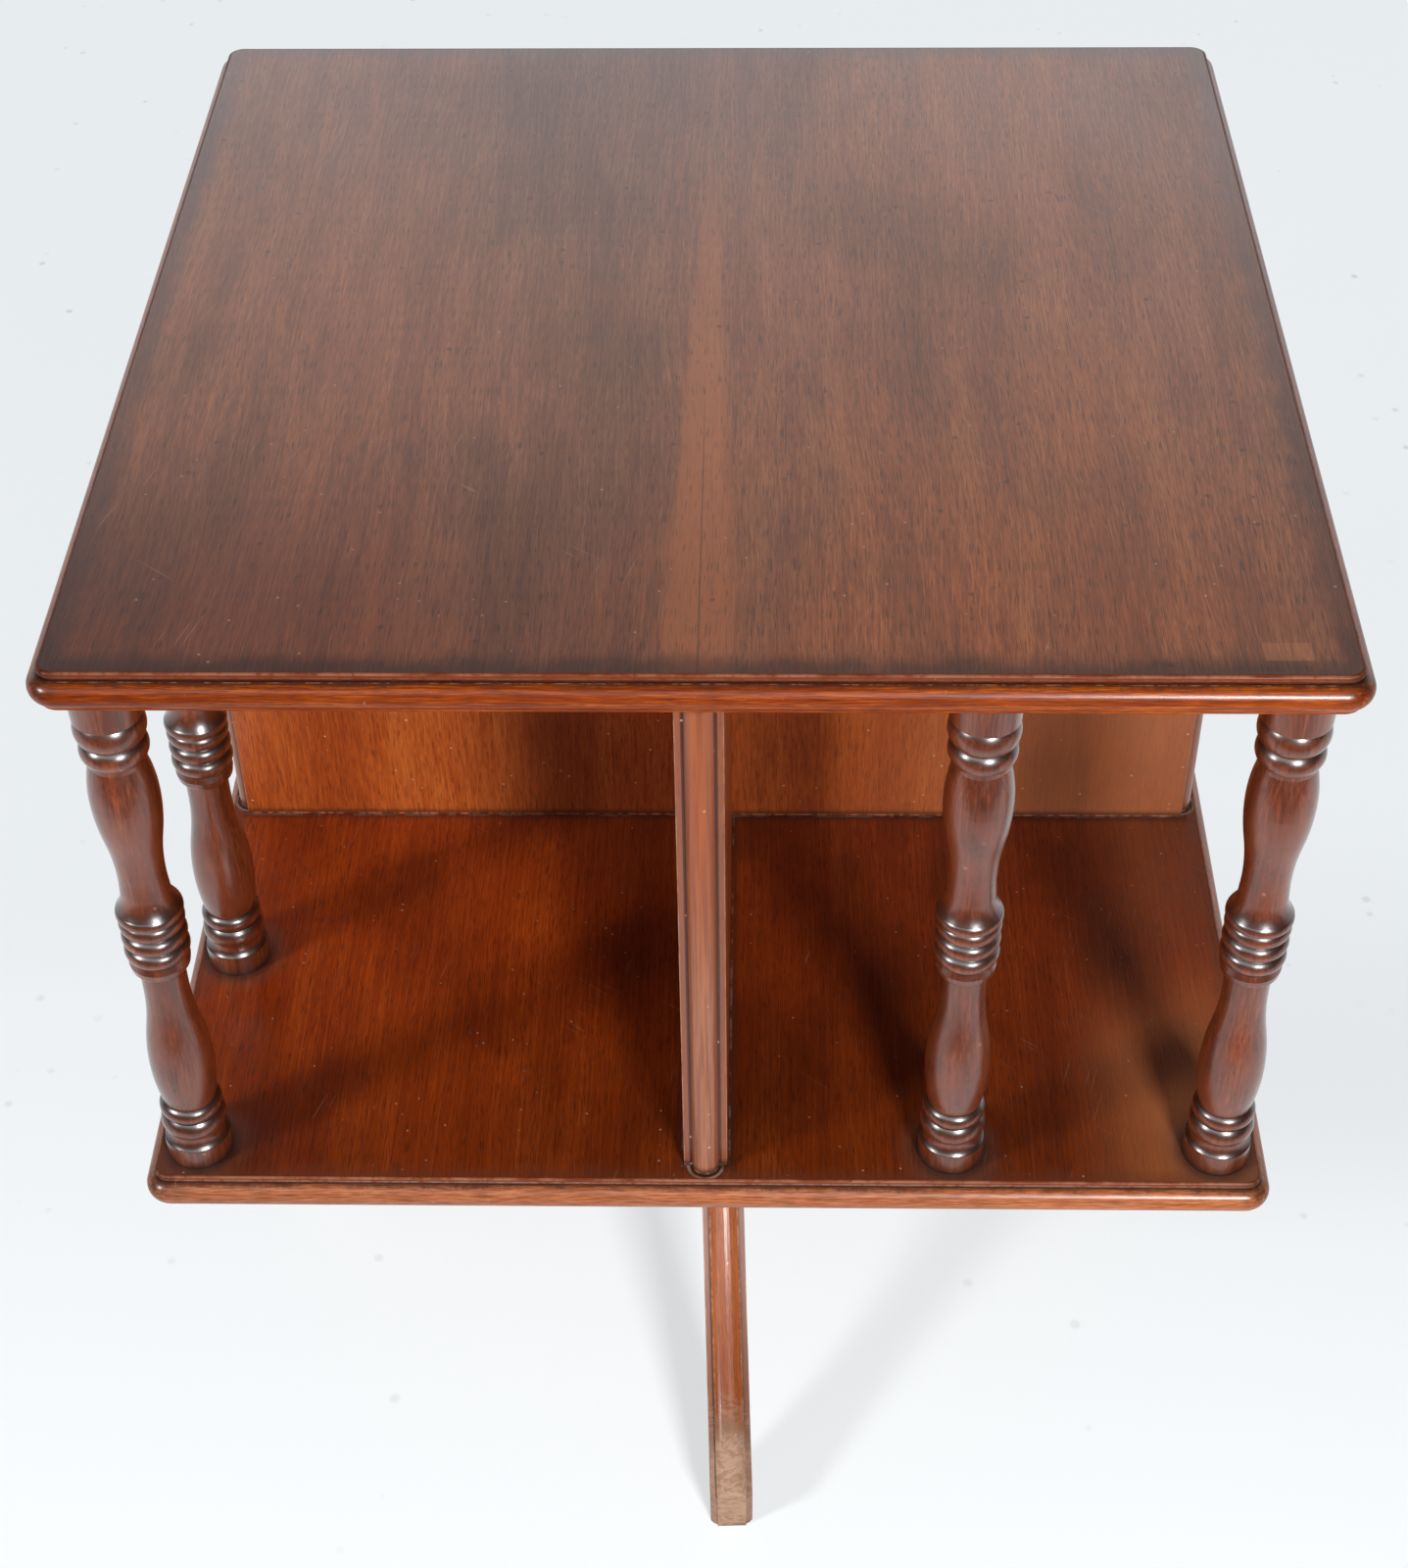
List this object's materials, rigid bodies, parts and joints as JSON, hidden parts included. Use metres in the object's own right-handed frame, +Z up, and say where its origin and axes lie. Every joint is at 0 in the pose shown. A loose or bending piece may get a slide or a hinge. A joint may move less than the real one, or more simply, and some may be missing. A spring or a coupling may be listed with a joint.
{
  "type": "revolving book table",
  "caption": "Square wooden book table whose moulded top, turned spindles and crossed dividers turn as one case on a pillar with sabre legs.",
  "frame": {"origin": "on the floor under the middle of the pillar, on the axis that the case turns about", "axes": "+Z up along the pillar; -Y is the side that faces the picture, with +X to its right; the case is stored square to X and Y, and the legs stand 2.6 degrees round from it"},
  "size_m": [0.508, 0.508, 0.6],
  "materials": {
    "field_veneer": "french polish, worn",
    "lipping_wood": "french polish",
    "shelf_veneer": "satin polish",
    "divider_wood": "satin polish",
    "spindle_wood": "dark gloss polish",
    "leg_wood": "polish, worn at the toes",
    "core_wood": "bare, planed",
    "block_wood": "stained",
    "steel": "turned",
    "bush_brass": "turned",
    "plate_iron": "blackened"
  },
  "bodies": {
    "base": {"pillar": "leg_wood", "front_leg": "leg_wood", "right_leg": "leg_wood", "back_leg": "leg_wood", "left_leg": "leg_wood", "thrust_ring": "bush_brass", "upper_bush": "bush_brass", "lower_bush": "bush_brass", "dovetail_plate": "plate_iron", "plate_screws": "plate_iron"},
    "case": {"top_panel": "core_wood", "top_veneer_left": "field_veneer", "top_veneer_right": "field_veneer", "top_edge_front": "lipping_wood", "top_edge_right": "lipping_wood", "top_edge_back": "lipping_wood", "top_edge_left": "lipping_wood", "shelf_panel": "core_wood", "shelf_veneer": "shelf_veneer", "shelf_edge_front": "lipping_wood", "shelf_edge_right": "lipping_wood", "shelf_edge_back": "lipping_wood", "shelf_edge_left": "lipping_wood", "cross_divider": "divider_wood", "front_divider": "divider_wood", "back_divider": "divider_wood", "spindle_front_left": "spindle_wood", "spindle_front_right": "spindle_wood", "spindle_back_right": "spindle_wood", "spindle_back_left": "spindle_wood", "spindle_front_middle": "spindle_wood", "spindle_right_middle": "spindle_wood", "spindle_back_middle": "spindle_wood", "spindle_left_middle": "spindle_wood", "turning_block": "block_wood", "block_screws": "steel", "pivot_spindle": "steel", "flange_screws": "steel", "retaining_washer": "steel", "retaining_nut": "steel"}
  },
  "joints": [
    {"name": "case_spin", "type": "hinge", "parent": "base", "child": "case", "pos_m": [0, 0, 0.264], "axis": [0, 0, 1], "continuous": true}
  ]
}
